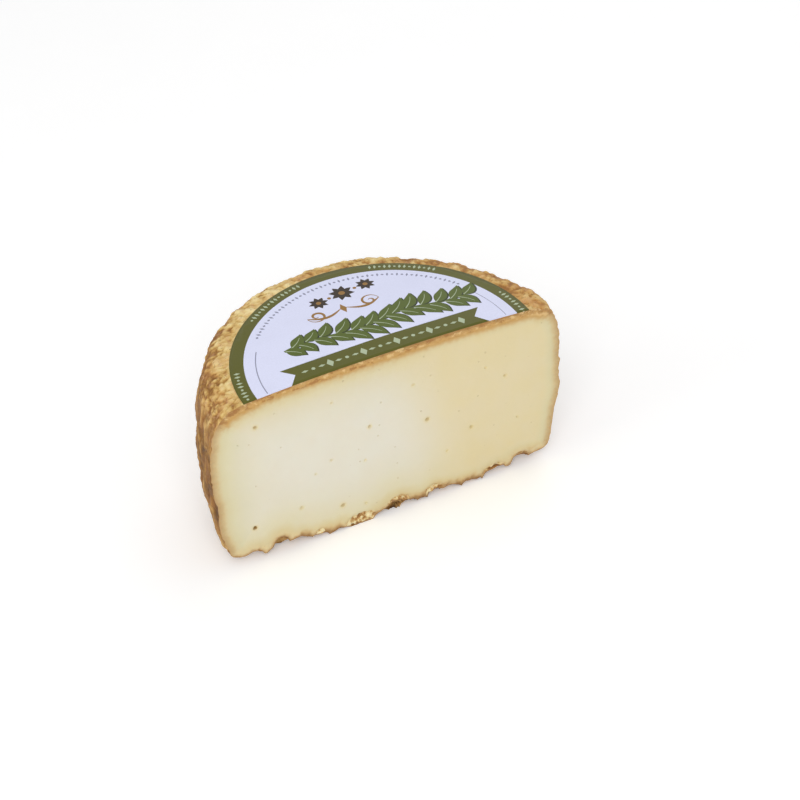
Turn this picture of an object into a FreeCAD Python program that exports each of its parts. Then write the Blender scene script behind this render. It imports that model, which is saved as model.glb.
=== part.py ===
"""Half wheel of goat and sheep tomme with its round paper label.

Frame: +Z up, origin on the wheel's axis, at the level on which it stands. The cut face
looks towards -Y and the rounded back of the wheel towards +Y. Millimetres and degrees.

Two sub-parts:
    cheese  the half wheel, paste and rind in one solid
    label   the paper disc glued on the domed top, cut through with the cheese

The whole wheel comes first, as one closed skin: a meridian of five arcs is carried round
the axis and made uneven as a cloth-moulded, turned and aged rind is. The board presses
its foot flat, the knife takes the front half away, and what the knife tore and opened is
taken out of the half that stays.
"""

import FreeCAD, Part
import math
import os
from FreeCAD import Vector

# ------------------------------------------------------------------ driving dimensions

SIZES = {
    # meridian, from the middle of the top over the rim and down to the middle of the foot
    "top_level": (99.4, "height of the wheel at its axis"),
    "dome_reach": (77.0, "radius at which the smooth dome turns into the rim"),
    "dome_level": (96.8, "height there"),
    "rim_reach": (89.2, "radius at which the rim turns into the side"),
    "rim_level": (86.5, "height there"),
    "heel_reach": (89.2, "radius at which the side turns into the heel"),
    "heel_level": (15.0, "height there"),
    "foot_reach": (86.9, "radius at which the heel turns into the underside"),
    "foot_level": (6.8, "height there"),
    "belly_reach": (30.0, "radius at which the unpressed underside turns level"),
    "belly_drop": (3.2, "how far the unpressed underside hangs below the board"),
    "dome_bulge": (0.8, "how far the dome's arc stands out of its chord"),
    "rim_bulge": (2.8, "the same of the rim's arc"),
    "side_bulge": (3.6, "the same of the side's arc"),
    "heel_bulge": (0.8, "the same of the heel's arc"),
    "underside_bulge": (0.8, "the same of the underside's arc"),
    "lean": (1.5, "how far the top has slid along +X over the foot"),
    # rind
    "rind_start": (79.0, "radius on the top at which the rind begins to be uneven"),
    "rind_full": (86.0, "radius on the top from which it is as uneven as the side"),
    "sway": (0.35, "how far the wheel is out of round"),
    "knob_height": (0.55, "half height of the knobs along the rim"),
    "knob_count": (41, "knobs round the rim"),
    "knob_band": (13.0, "half height of the band of knobs, up and down from the rim"),
    "crease_height": (0.65, "half height of the creases down the side"),
    "crease_count": (29, "creases round the side"),
    "crease_pitch": (33.0, "height over which a crease wavers to and fro"),
    "dimple_height": (0.4, "half height of the dimples between the creases"),
    "dimple_pitch": (21.0, "height from one dimple to the next"),
    # cut, foot and label
    "cut_offset": (1.9, "how far in front of the axis the knife went down"),
    "eye_depth": (1.1, "how deep an eye lies open in the cut face"),
    "label_radius": (74.3, "radius of the paper label"),
    "paper": (0.25, "thickness of the paper label"),
    "block": (260.0, "edge of the blocks that stand for board and knife"),
}

# Short tables. Each value goes into the sheet as NAME_NUMBER_COLUMN, such as eye_2_width.
TABLES = {
    # places where the rim stands out or is dented: direction, height, half width in degrees
    "mark": (
        ("angle", "height", "spread"),
        [
            (8, 2.2, 7.0),
            (24, 0.7, 3.5),
            (30, -1.0, 2.4),
            (37, 0.6, 3.5),
            (59, -1.1, 5.0),
            (76, 0.8, 7.0),
            (90, 0.9, 6.0),
            (106, 0.8, 4.0),
            (115, 1.2, 8.0),
            (149, -1.2, 5.0),
        ],
    ),
    # eyes of the paste that lie open in the cut face
    "eye": (
        ("x", "z", "width"),
        [
            (-73.6, 21.6, 3.2),
            (-68.5, 81.8, 2.4),
            (-49.0, 23.7, 2.4),
            (-27.4, 16.1, 2.6),
            (-11.1, 59.3, 2.2),
            (12.6, 75.5, 1.8),
            (19.7, 51.5, 3.0),
            (44.0, 37.0, 2.4),
            (63.0, 62.0, 2.0),
        ],
    ),
    # rind that the knife tore off along the lower edge of the cut, as half axes
    "chip": (
        ("x", "z", "length", "height", "depth"),
        [
            (-76.5, 3.4, 6.5, 3.0, 4.0),
            (-61.0, 1.0, 5.2, 8.8, 5.0),
            (-53.0, 0.5, 9.0, 4.9, 6.5),
            (-43.0, 0.0, 7.5, 2.9, 4.0),
            (-30.0, 0.0, 6.0, 1.0, 2.0),
            (-6.0, 0.0, 5.0, 3.0, 3.6),
            (1.2, 0.0, 6.2, 6.0, 1.4),
            (8.5, 0.0, 5.0, 3.2, 4.0),
            (16.0, 0.0, 5.0, 1.6, 2.5),
            (24.0, 0.0, 5.0, 4.4, 5.0),
            (31.0, 0.0, 7.0, 3.6, 4.0),
            (44.0, 0.0, 6.0, 1.5, 2.5),
            (58.0, 0.8, 7.5, 3.6, 5.0),
            (72.0, 4.5, 5.0, 3.0, 4.0),
        ],
    ),
}

# How closely the skin's poles follow the wheel.
COLUMNS = 160
ROWS = {"dome": 7, "rim": 5, "side": 17, "heel": 4, "underside": 5, "belly": 3}


# ------------------------------------------------------------------ document and sheet


def make_sheet(document):
    """Writes every dimension into a sheet, one row each, under its alias."""
    cells = dict(SIZES)
    for name, (columns, entries) in TABLES.items():
        for number, entry in enumerate(entries, start=1):
            for column, value in zip(columns, entry):
                cells[f"{name}_{number}_{column}"] = (value, f"{name} {number}, {column}")
    sheet = document.addObject("Spreadsheet::Sheet", "Dimensions")
    for row, (alias, (value, meaning)) in enumerate(cells.items(), start=1):
        sheet.set(f"A{row}", meaning)
        sheet.set(f"B{row}", str(value))
        sheet.setAlias(f"B{row}", alias)
    document.recompute()
    return sheet


doc = FreeCAD.newDocument("TommeHalfWheel")
dimensions = make_sheet(doc)


def size(alias):
    """The value in the cell of that alias."""
    return float(dimensions.get(alias))


def table(name):
    """The rows of a table in the sheet, each as a dictionary of column to value."""
    columns, entries = TABLES[name]
    numbers = range(1, len(entries) + 1)
    return [{c: size(f"{name}_{n}_{c}") for c in columns} for n in numbers]


def add(kind, name, **formulas):
    """A new object whose properties follow the sheet, Base__x for Placement.Base.x."""
    thing = doc.addObject(kind, name)
    thing.Label = name
    for prop, formula in formulas.items():
        path = prop.replace("Base__", "Placement.Base.")
        thing.setExpression(path, formula)
    return thing


# ------------------------------------------------------------------ the wheel's skin


def bulged_arc(start, end, bulge):
    """The arc between two points that stands out of its chord by bulge, on its left."""
    chord = end - start
    outward = Vector(-chord.z, 0, chord.x).normalize()
    return Part.Arc(start, (start + end) * 0.5 + outward * bulge, end).toShape()


def meridian():
    """Points down the even outline, each with its outward direction, in the XZ plane."""
    top = Vector(0, 0, size("top_level"))
    dome = Vector(size("dome_reach"), 0, size("dome_level"))
    rim = Vector(size("rim_reach"), 0, size("rim_level"))
    heel = Vector(size("heel_reach"), 0, size("heel_level"))
    foot = Vector(size("foot_reach"), 0, size("foot_level"))
    belly = Vector(size("belly_reach"), 0, -size("belly_drop"))
    bottom = Vector(0, 0, -size("belly_drop"))
    edges = {
        "dome": bulged_arc(top, dome, size("dome_bulge")),
        "rim": bulged_arc(dome, rim, size("rim_bulge")),
        "side": bulged_arc(rim, heel, size("side_bulge")),
        "heel": bulged_arc(heel, foot, size("heel_bulge")),
        "underside": bulged_arc(foot, belly, size("underside_bulge")),
        "belly": Part.makeLine(belly, bottom),
    }
    points = [top]
    for name, edge in edges.items():
        points += edge.discretize(ROWS[name] + 1)[1:]
    pairs = []
    for number, point in enumerate(points):
        before = points[max(number - 1, 0)]
        after = points[min(number + 1, len(points) - 1)]
        along = after - before
        pairs.append((point, Vector(-along.z, 0, along.x).normalize()))
    return pairs


def rise(value, low, high):
    """0 up to low, 1 from high, and a smooth step between them."""
    part = min(max((value - low) / (high - low), 0), 1)
    return part * part * (3 - 2 * part)


def unevenness(turn, reach, level):
    """How far the rind stands out at a direction in radians, a radius and a height."""
    round_the_wheel = math.cos(turn - 0.6) + math.cos(2 * turn + 0.4)
    round_the_wheel = size("sway") * (round_the_wheel + 0.8 * math.sin(5 * turn + 2.1))

    near_rim = math.exp(-(((level - size("rim_level")) / size("knob_band")) ** 2))
    knobs = math.sin(size("knob_count") * turn + 1.4 * math.sin(7 * turn))
    knobs += 0.5 * math.sin(0.6 * size("knob_count") * turn + 0.35 * level)
    knobs *= size("knob_height") * near_rim

    waver = math.sin(2 * math.pi * level / size("crease_pitch") + 3 * math.sin(4 * turn))
    creases = size("crease_height") * math.sin(size("crease_count") * turn + 1.5 * waver)
    dimples = math.cos(2 * math.pi * level / size("dimple_pitch") + 2 * math.sin(6 * turn + 1))
    dimples *= size("dimple_height") * math.sin(17 * turn + 0.8)
    side = (creases + dimples) * (1 - 0.7 * near_rim)

    marks = 0.0
    for mark in table("mark"):
        away = (math.degrees(turn) - mark["angle"]) / mark["spread"]
        marks += mark["height"] * near_rim * math.exp(-(away**2))

    off_the_dome = rise(reach, size("rind_start"), size("rind_full"))
    off_the_foot = rise(level, 0, size("foot_level"))
    return (round_the_wheel + knobs + side + marks) * off_the_dome * off_the_foot


def wheel_skin():
    """The closed skin of the whole uncut wheel, a bicubic surface periodic round the axis.

    Its seam runs down the front, in the half that the knife takes away.
    """
    outline = meridian()
    columns = []
    for number in range(COLUMNS):
        turn = 2 * math.pi * number / COLUMNS - math.pi / 2
        column = []
        for point, outward in outline:
            out = unevenness(turn, point.x, point.z)
            reach = point.x + outward.x * out
            level = point.z + outward.z * out
            slide = size("lean") * level / size("top_level")
            column.append(Vector(reach * math.cos(turn) + slide, reach * math.sin(turn), level))
        columns.append(column)

    rows = len(outline)
    surface = Part.BSplineSurface()
    surface.buildFromPolesMultsKnots(
        columns,
        [1] * (COLUMNS + 1),
        [4] + [1] * (rows - 4) + [4],
        [float(knot) for knot in range(COLUMNS + 1)],
        [float(knot) for knot in range(rows - 2)],
        True,
        False,
        3,
        3,
    )
    solid = Part.Solid(Part.Shell([surface.toShape()]))
    if solid.Volume < 0:
        solid.reverse()
    return solid


# ------------------------------------------------------------------ the sub-parts


def make_knife():
    """The block of air in front of the cut."""
    return add(
        "Part::Box",
        "Knife",
        Length="Dimensions.block",
        Width="Dimensions.block",
        Height="Dimensions.block",
        Base__x="-Dimensions.block / 2",
        Base__y="-Dimensions.block - Dimensions.cut_offset",
        Base__z="-Dimensions.block / 2",
    )


def make_board():
    """The block under the wheel that presses its foot flat."""
    return add(
        "Part::Box",
        "Board",
        Length="Dimensions.block",
        Width="Dimensions.block",
        Height="Dimensions.block",
        Base__x="-Dimensions.block / 2",
        Base__y="-Dimensions.block / 2",
        Base__z="-Dimensions.block",
    )


def make_eyes():
    """Balls that open the eyes in the cut face, as wide there as the table says."""
    balls = []
    for number in range(1, len(TABLES["eye"][1]) + 1):
        half_width = f"(Dimensions.eye_{number}_width / 2)"
        radius = f"({half_width}^2 + Dimensions.eye_depth^2) / (2 * Dimensions.eye_depth)"
        ball = add(
            "Part::Sphere",
            f"Eye{number}",
            Radius=radius,
            Base__x=f"Dimensions.eye_{number}_x",
            Base__y=f"Dimensions.eye_depth - Dimensions.cut_offset - {radius}",
            Base__z=f"Dimensions.eye_{number}_z",
        )
        balls.append(ball)
    return balls


def make_chips():
    """Lumps taken out along the lower edge of the cut, where the rind broke."""
    lumps = []
    for number in range(1, len(TABLES["chip"][1]) + 1):
        lump = add(
            "Part::Ellipsoid",
            f"Chip{number}",
            Radius1=f"Dimensions.chip_{number}_height",
            Radius2=f"Dimensions.chip_{number}_length",
            Radius3=f"Dimensions.chip_{number}_depth",
            Base__x=f"Dimensions.chip_{number}_x",
            Base__y="-Dimensions.cut_offset",
            Base__z=f"Dimensions.chip_{number}_z",
        )
        lumps.append(lump)
    return lumps


def cut(name, base, tool):
    """Base with the tool taken away."""
    result = doc.addObject("Part::Cut", name)
    result.Label = name
    result.Base = base
    result.Tool = tool
    return result


def joined(name, pieces):
    """All the pieces as one shape, each face left whole where they overlap."""
    result = doc.addObject("Part::MultiFuse", name)
    result.Label = name
    result.Shapes = pieces
    result.Refine = False
    return result


def make_cheese(skin, knife, board):
    """The half wheel that stays on the board."""
    pressed = cut("PressedWheel", skin, board)
    half = cut("HalfWheel", pressed, knife)
    torn = cut("TornHalf", half, joined("Chips", make_chips()))
    return cut("cheese", torn, joined("Eyes", make_eyes()))


def make_label(skin, knife):
    """The paper disc, one thickness above the dome all over, cut with the wheel."""
    raised = add("Part::Feature", "RaisedSkin")
    raised.Shape = skin.Shape.copy()
    raised.setExpression("Placement.Base.z", "Dimensions.paper")
    disc = add(
        "Part::Cylinder",
        "Disc",
        Radius="Dimensions.label_radius",
        Height="Dimensions.top_level",
        Base__x="Dimensions.lean",
        Base__z="Dimensions.top_level / 2",
    )
    domed = doc.addObject("Part::MultiCommon", "DomedDisc")
    domed.Shapes = [disc, raised]
    paper = cut("Paper", domed, skin)
    return cut("label", paper, knife)


def check(parts):
    """Stops if any object failed or a sub-part isn't one valid solid."""
    for thing in doc.Objects:
        if "Invalid" in thing.State or "Error" in thing.State:
            raise RuntimeError(f"{thing.Label} failed: {thing.State}")
    for part in parts:
        shape = part.Shape
        if shape.isNull() or not shape.isValid() or len(shape.Solids) != 1:
            raise RuntimeError(f"{part.Label} is not one valid solid")


def build():
    """Makes both sub-parts and writes each to parts/LABEL.step."""
    skin = add("Part::Feature", "Skin")
    skin.Shape = wheel_skin()
    knife = make_knife()
    board = make_board()
    parts = [make_cheese(skin, knife, board), make_label(skin, knife)]
    doc.recompute()
    check(parts)
    os.makedirs("parts", exist_ok=True)
    for part in parts:
        part.Shape.exportStep(f"parts/{part.Label}.step")
        box = part.Shape.BoundBox
        print(f"{part.Label}: {part.Shape.Volume / 1000:.2f} cm3, faces {len(part.Shape.Faces)}")
        print(f"    x {box.XMin:.2f} {box.XMax:.2f}  y {box.YMin:.2f} {box.YMax:.2f}"
              f"  z {box.ZMin:.2f} {box.ZMax:.2f}")


build()
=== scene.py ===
import math
import random

import bmesh
import bpy
import numpy as np
from mathutils import Matrix, Vector, noise
from mathutils.bvhtree import BVHTree
from mathutils.geometry import delaunay_2d_cdt
from mathutils.kdtree import KDTree


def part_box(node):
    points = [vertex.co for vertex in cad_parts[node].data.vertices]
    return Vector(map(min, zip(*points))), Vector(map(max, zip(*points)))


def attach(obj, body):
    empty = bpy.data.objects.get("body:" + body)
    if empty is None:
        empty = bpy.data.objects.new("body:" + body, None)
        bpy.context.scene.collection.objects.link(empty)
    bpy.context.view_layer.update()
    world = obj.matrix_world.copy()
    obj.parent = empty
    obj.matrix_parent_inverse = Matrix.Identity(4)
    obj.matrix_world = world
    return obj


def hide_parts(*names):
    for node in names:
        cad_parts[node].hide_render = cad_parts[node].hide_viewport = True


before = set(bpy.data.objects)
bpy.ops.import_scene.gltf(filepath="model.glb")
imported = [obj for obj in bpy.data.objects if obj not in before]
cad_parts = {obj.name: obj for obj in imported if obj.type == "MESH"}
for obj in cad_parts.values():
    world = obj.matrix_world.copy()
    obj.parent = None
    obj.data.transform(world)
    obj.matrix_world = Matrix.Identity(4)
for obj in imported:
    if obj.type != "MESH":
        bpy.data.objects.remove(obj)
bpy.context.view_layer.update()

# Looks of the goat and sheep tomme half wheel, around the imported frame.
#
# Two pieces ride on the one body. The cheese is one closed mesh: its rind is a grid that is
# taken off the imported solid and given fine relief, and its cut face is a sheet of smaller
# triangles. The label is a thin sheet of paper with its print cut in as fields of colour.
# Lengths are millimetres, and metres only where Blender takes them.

MM = 0.001


# ---------------- sizes off the frame


def box_mm(node):
    """A node's lowest and highest corner, in millimetres."""
    low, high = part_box(node)
    return Vector(low) / MM, Vector(high) / MM


CHEESE_HIGH = box_mm("cheese")[1]
LABEL_LOW, LABEL_HIGH = box_mm("label")
# The paper's thickness.
PAPER = 0.25
CUT_Y = LABEL_LOW.y
TOP_Z = LABEL_HIGH.z - PAPER
LABEL_R = LABEL_HIGH.y
LABEL_X = (LABEL_LOW.x + LABEL_HIGH.x) / 2
# No part of the label lies lower than this.
LABEL_FLOOR = TOP_Z - 12


# ---------------- small helpers


def rise(value, low, high):
    """0 up to low, 1 from high, and a smooth step between; numbers or arrays."""
    part = np.clip((np.asarray(value, float) - low) / (high - low), 0, 1)
    return part * part * (3 - 2 * part)


def noise_at(points, scale, seed):
    """Smooth noise from -1 to 1 at points in millimetres; scale is the size of its lumps."""
    shift = Vector((seed * 17.3, seed * -9.1, seed * 5.7))
    return np.array([noise.noise(Vector(p) / scale + shift) for p in points])


def fractal_at(points, scale, seed, octaves=4):
    """Noise with finer and finer octaves, about -1 to 1."""
    shift = Vector((seed * 11.9, seed * 7.7, seed * -3.3))
    return np.array([noise.fractal(Vector(p) / scale + shift, 0.9, 2.1, octaves) for p in points])


def cells_at(points, scale, seed):
    """Rounded cells: 1 in the middle of a lump and 0 in the furrow between two."""
    shift = Vector((seed * 5.1, seed * 8.3, seed * 2.9))
    depth = []
    for p in points:
        near, _ = noise.voronoi(Vector(p) / scale + shift)
        depth.append(near[1] - near[0])
    return np.clip(np.array(depth) * 1.6, 0, 1) ** 0.6


def placed(name, data):
    """An object with this data, in the scene."""
    made = bpy.data.objects.new(name, data)
    bpy.context.scene.collection.objects.link(made)
    return made


def new_mesh(name, points, faces, slots):
    """An object from points in millimetres, with a material index for each face."""
    mesh = bpy.data.meshes.new(name)
    mesh.from_pydata([tuple(p) for p in np.asarray(points) * MM], [], faces)
    mesh.polygons.foreach_set("material_index", slots)
    mesh.polygons.foreach_set("use_smooth", [True] * len(mesh.polygons))
    mesh.update()
    return placed(name, mesh)


def put_attribute(piece, name, values):
    """A number for each vertex, which a material reads by its name."""
    layer = piece.data.attributes.new(name, "FLOAT", "POINT")
    layer.data.foreach_set("value", np.asarray(values, dtype=np.float32))


def closed_edges(start, count):
    """The edges of a closed outline whose points are numbered from start."""
    return [(start + i, start + (i + 1) % count) for i in range(count)]


# ---------------- the skin of the cheese

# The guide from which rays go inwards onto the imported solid: flat above the top and under
# the foot, upright beside the side, and turned about these centres at rim and heel.
RIM_CENTRE = (78.0, 84.0)
HEEL_CENTRE = (76.0, 16.0)
# How far it stands off those centres, and above and below the cheese.
BESIDE = 40.0
FAR = 150.0
# How far its rows lie apart: down the rind, under the label and under the foot.
FINE = 0.8
COARSE = 5.0
FOOT_STEP = 1.5
# Steps in each of its two turns, and round the half wheel.
TURN_STEPS = 26
COLUMNS = 340
# Rays start this far behind the cut, so that they meet the skin and not the cut's edge.
JUST_BEHIND = 0.06


def turning_rows(centre, start):
    """Rays down a quarter turn of the guide about a centre, from start degrees above level."""
    rows = []
    for step in range(TURN_STEPS + 1):
        angle = math.radians(start - 90 * step / TURN_STEPS)
        out, up = math.cos(angle), math.sin(angle)
        rows.append((centre[0] + BESIDE * out, centre[1] + BESIDE * up, out, up))
    return rows


def guide_rows():
    """Rays down the guide, each as (radius, height, outward radius part, outward up part)."""
    fine_from = LABEL_R - 6
    rows = [(radius, FAR, 0.0, 1.0) for radius in np.arange(0, fine_from, COARSE)]
    rows += [(radius, FAR, 0.0, 1.0) for radius in np.arange(fine_from, RIM_CENTRE[0], FINE)]
    rows += turning_rows(RIM_CENTRE, 90)
    for height in np.arange(RIM_CENTRE[1] - FINE, HEEL_CENTRE[1], -FINE):
        rows.append((RIM_CENTRE[0] + BESIDE, height, 1.0, 0.0))
    rows += turning_rows(HEEL_CENTRE, 0)
    for radius in np.arange(HEEL_CENTRE[0] - FOOT_STEP, 0, -FOOT_STEP):
        rows.append((radius, -FAR, 0.0, -1.0))
    rows.append((0.0, -FAR, 0.0, -1.0))
    return rows


def solid_tree(node):
    """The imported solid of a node, ready for rays, in millimetres."""
    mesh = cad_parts[node].data
    points = [v.co / MM for v in mesh.vertices]
    return BVHTree.FromPolygons(points, [tuple(p.vertices) for p in mesh.polygons])


def cast_skin():
    """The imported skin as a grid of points, rows down the meridian and columns round it."""
    tree = solid_tree("cheese")
    rows = guide_rows()
    grid = np.zeros((len(rows), COLUMNS + 1, 3))
    for column in range(COLUMNS + 1):
        turn = math.pi * column / COLUMNS
        around = Vector((math.cos(turn), math.sin(turn), 0))
        for row, (radius, height, out, up) in enumerate(rows):
            start = around * radius + Vector((0, CUT_Y + JUST_BEHIND, height))
            hit = tree.ray_cast(start, -(around * out + Vector((0, 0, up))), 2 * FAR)[0]
            grid[row, column] = hit if hit is not None else np.nan
    grid[:, [0, -1], 1] = CUT_Y
    return grid


def softened(grid, passes):
    """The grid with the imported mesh's facets evened out, but not where its rows lie far apart.

    The foot stays as it is, and the cut edges stay in their plane.
    """
    grid = grid.copy()
    far_apart = 2.5
    above_foot = np.array([up > -0.99 for _, _, _, up in guide_rows()])
    for _ in range(passes):
        inner = grid.copy()
        inner[1:-1] = (grid[:-2] + 2 * grid[1:-1] + grid[2:]) / 4
        across = inner.copy()
        across[:, 1:-1] = (inner[:, :-2] + 2 * inner[:, 1:-1] + inner[:, 2:]) / 4
        apart = np.linalg.norm(grid[1:-1] - grid[:-2], axis=2).max(axis=1)
        fine_rows = np.zeros(len(grid), bool)
        fine_rows[1:-1] = (apart < far_apart) & above_foot[1:-1]
        grid[fine_rows] = across[fine_rows]
    return grid


def outward(grid):
    """Unit directions out of the grid's surface; at the cut edges they lie in the cut."""
    down = np.gradient(grid, axis=0)
    along = np.gradient(grid, axis=1)
    out = np.cross(down, along)
    length = np.linalg.norm(out, axis=2, keepdims=True)
    out = np.where(length > 1e-6, out / np.maximum(length, 1e-6), (0, 0, 1))
    for edge in (0, -1):
        out[:, edge, 1] = 0
        out[:, edge] /= np.maximum(np.linalg.norm(out[:, edge], axis=1, keepdims=True), 1e-6)
    middle = grid.shape[1] // 2
    if out[len(out) // 2, middle, 1] < 0:
        out = -out
    return out


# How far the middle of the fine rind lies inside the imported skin, so that its crests meet it.
RIND_SINK = 0.15


def unrolled(points):
    """The skin laid flat: millimetres round the wheel, and outwards on top and down the side."""
    around = np.arctan2(points[:, 1] - CUT_Y, points[:, 0]) * CHEESE_HIGH.y
    down = np.hypot(points[:, 0], points[:, 1]) - points[:, 2]
    return np.column_stack([around, down, np.zeros(len(points))])


def rind_relief(points):
    """Height of the fine rind at points on the skin, in millimetres."""
    radius = np.hypot(points[:, 0] - LABEL_X, points[:, 1])
    height = points[:, 2]
    off_label = rise(radius, LABEL_R - 1.5, LABEL_R + 2.5)
    off_label = np.where(height < LABEL_FLOOR, 1.0, off_label)
    off_foot = rise(height, 0.0, 4.0)
    on_top = rise(height, TOP_Z - 20, TOP_Z - 9)

    sheet = unrolled(points)
    sheet[:, 0] += 2.2 * noise_at(points, 13.0, 7)
    sheet[:, 1] += 2.2 * noise_at(points, 11.0, 8)
    grit = fractal_at(points, 2.8, 2)
    pits = np.minimum(fractal_at(points, 3.6, 10, 3) + 0.25, 0)

    knobs = cells_at(sheet * np.array([1.0, 0.65, 1.0]), 4.2, 1) - 0.6
    lumpy = 0.45 + 0.45 * rise(points[:, 0], 0, 50)
    top = 0.8 * knobs + lumpy * fractal_at(points, 8.0, 3) + 0.25 * grit + 1.0 * pits

    slanted = sheet.copy()
    slanted[:, 0] += 0.22 * sheet[:, 1]
    folds = 0.8 - 2 * np.abs(fractal_at(slanted * np.array([1.0, 0.3, 1.0]), 5.2, 4, 3))
    flakes = cells_at(slanted * np.array([1.0, 0.42, 1.0]), 4.6, 6) - 0.5
    side = 0.55 * folds + 0.5 * flakes + 0.4 * fractal_at(points, 14.0, 5) + 0.2 * grit + 0.7 * pits
    return (top * on_top + side * (1 - on_top) - RIND_SINK) * off_label * off_foot


def foot_pits(points):
    """Shallow pits in the foot, none lower than the board, and its ragged edge by the cut."""
    height = points[:, 2]
    pits = 0.5 * np.minimum(fractal_at(points, 5.0, 9), 0) * (1 - rise(height, 0.0, 4.0))
    beside = 1 - rise(points[:, 1], CUT_Y, CUT_Y + 4)
    ragged = np.minimum(fractal_at(points, 2.6, 12) - 0.05, 0) * beside * (1 - rise(height, 3.0, 8.0))
    return pits + 1.8 * ragged


def paper_bed(points):
    """How far the skin gives way under the label, so that the paper lies clear of it."""
    radius = np.hypot(points[:, 0] - LABEL_X, points[:, 1])
    under = 1 - rise(radius, LABEL_R - 2.5, LABEL_R - 0.5)
    behind = rise(points[:, 1], CUT_Y, CUT_Y + 0.4)
    return 0.3 * behind * under * (points[:, 2] > LABEL_FLOOR)


def drawn_lip(points):
    """Rind that the knife drew out along the left end of the cut, below the rim."""
    beside = 1 - rise(points[:, 1] - CUT_Y, 0, 10)
    level = rise(points[:, 2], 40, 76) * (1 - rise(points[:, 2], 82, 90))
    return 1.6 * beside * level * (points[:, 0] < 0)


# ---------------- the cut face

EYES = [
    # (x, z, width, depth) of the eyes that lie open in the cut
    (-73.6, 21.6, 1.8, 1.3),
    (-68.5, 81.8, 1.8, 0.9),
    (-49.0, 23.7, 1.6, 0.7),
    (-27.4, 16.1, 2.1, 0.9),
    (-15.1, 12.2, 1.3, 0.6),
    (-11.1, 59.3, 1.6, 0.8),
    (-14.3, 39.8, 1.1, 0.5),
    (-31.9, 47.0, 1.0, 0.4),
    (-30.0, 81.4, 1.1, 0.4),
    (-40.5, 41.8, 0.9, 0.4),
    (12.6, 75.5, 1.3, 0.5),
    (19.7, 51.5, 2.0, 0.9),
    (30.5, 27.0, 1.3, 0.6),
    (44.0, 37.0, 1.7, 0.8),
    (52.0, 71.0, 1.1, 0.5),
    (63.0, 62.0, 1.5, 0.7),
    (70.5, 33.0, 1.2, 0.6),
]
# Rings of points round an eye, as (share of its half width, share of its depth), and how
# many points there are in a ring of its own width.
EYE_RINGS = [(1.25, 0.0), (1.0, 0.12), (0.72, 0.75), (0.36, 1.0)]
EYE_POINTS = 14
TORN = [
    # (x, z, half length, half height) of the crumbly places along the lower edge
    (-40.0, 3.0, 3.0, 3.0),
    (-17.5, 2.5, 9.5, 4.8),
    (3.0, 5.5, 7.0, 3.6),
    (23.0, 4.0, 6.0, 4.0),
    (58.0, 3.5, 7.0, 3.6),
    (73.0, 6.0, 5.0, 3.0),
]
# How far apart the sheet's points lie, where the knife left it smooth and where it is rough.
GRAIN = 1.25
ROUGH_GRAIN = 0.75
# It is rough within this distance of its edge, and where it is torn.
ROUGH_EDGE = 2.6


def torn_at(points):
    """1 in the middle of the torn places of the cut, and 0 away from them."""
    torn = np.zeros(len(points))
    for x, z, length, height in TORN:
        away = np.hypot((points[:, 0] - x) / length, (points[:, 1] - z) / height)
        torn = np.maximum(torn, 1 - rise(away, 0.55, 1.15))
    return torn


def distance_to_outline(points, outline):
    """How far each point of the cut is from the closed outline."""
    spans = np.roll(outline, -1, axis=0) - outline
    lengths = np.maximum((spans**2).sum(axis=1), 1e-12)
    best = np.full(len(points), 1e9)
    for start, span, length in zip(outline, spans, lengths):
        offset = points - start
        part = np.clip(offset @ span / length, 0, 1)
        best = np.minimum(best, np.linalg.norm(offset - part[:, None] * span, axis=1))
    return best


def nearest_value(points, outline, values):
    """For each point of the cut, the value of the nearest point of the outline."""
    tree = KDTree(len(outline))
    for index, (x, z) in enumerate(outline):
        tree.insert((x, z, 0), index)
    tree.balance()
    return np.array([values[tree.find((x, z, 0))[1]] for x, z in points])


def inside(points, outline):
    """True for each point inside the closed outline."""
    odd = np.zeros(len(points), bool)
    x, z = points[:, 0], points[:, 1]
    for (ax, az), (bx, bz) in zip(outline, np.roll(outline, -1, axis=0)):
        if az != bz:
            crosses = (az > z) != (bz > z)
            odd ^= crosses & (x < (bx - ax) * (z - az) / (bz - az) + ax)
    return odd


def eye_rings(draw):
    """Rings of points round each eye, on the cut's plane, and the depth of each point."""
    points, depths = [], []
    for x, z, width, depth in EYES:
        lobes = draw.uniform(0, 2 * math.pi)
        stretch = draw.uniform(0.7, 1.3)
        for share, low in EYE_RINGS:
            count = max(5, int(EYE_POINTS * share))
            for step in range(count):
                turn = 2 * math.pi * (step + 0.5 * (share < 1)) / count
                reach = width / 2 * share * (1 + 0.18 * math.sin(2 * turn + lobes))
                across = reach * math.cos(turn) * stretch
                points.append((x + across, z + reach * math.sin(turn) / stretch))
                depths.append(depth * low)
        points.append((x, z))
        depths.append(depth)
    return np.array(points), np.array(depths)


def eye_ring_and_shade(points):
    """1 in the deepest eye of the cut, less in the others, and fading out well around them: a golden
    ring round each eye, and painted shade in the deeper eyes' hollows.
    """
    ring_and_shade = np.zeros(len(points))
    for x, z, width, depth in EYES:
        away = np.hypot(points[:, 0] - x, points[:, 1] - z) / (width / 2)
        ring_and_shade = np.maximum(ring_and_shade, (1 - rise(away, 0.5, 3.2)) * min(1, 0.3 + 0.55 * depth))
    return ring_and_shade


def spread_points(outline, grain, draw):
    """Points inside the outline, a grain apart in staggered rows, and which are in rough paste.

    Each is a little out of line, and none is close to the outline.
    """
    low = outline.min(axis=0)
    high = outline.max(axis=0)
    away = 0.24 * grain
    spread = []
    for row, z in enumerate(np.arange(low[1], high[1], grain * 0.87)):
        for x in np.arange(low[0] + grain * 0.5 * (row % 2), high[0], grain):
            spread.append((x + draw.uniform(-away, away), z + draw.uniform(-away, away)))
    spread = np.array(spread)
    spread = spread[inside(spread, outline)]
    edge = distance_to_outline(spread, outline)
    clear = edge > 0.45 * grain
    rough = (edge < ROUGH_EDGE) | (torn_at(spread) > 0)
    return spread[clear], rough[clear]


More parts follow.
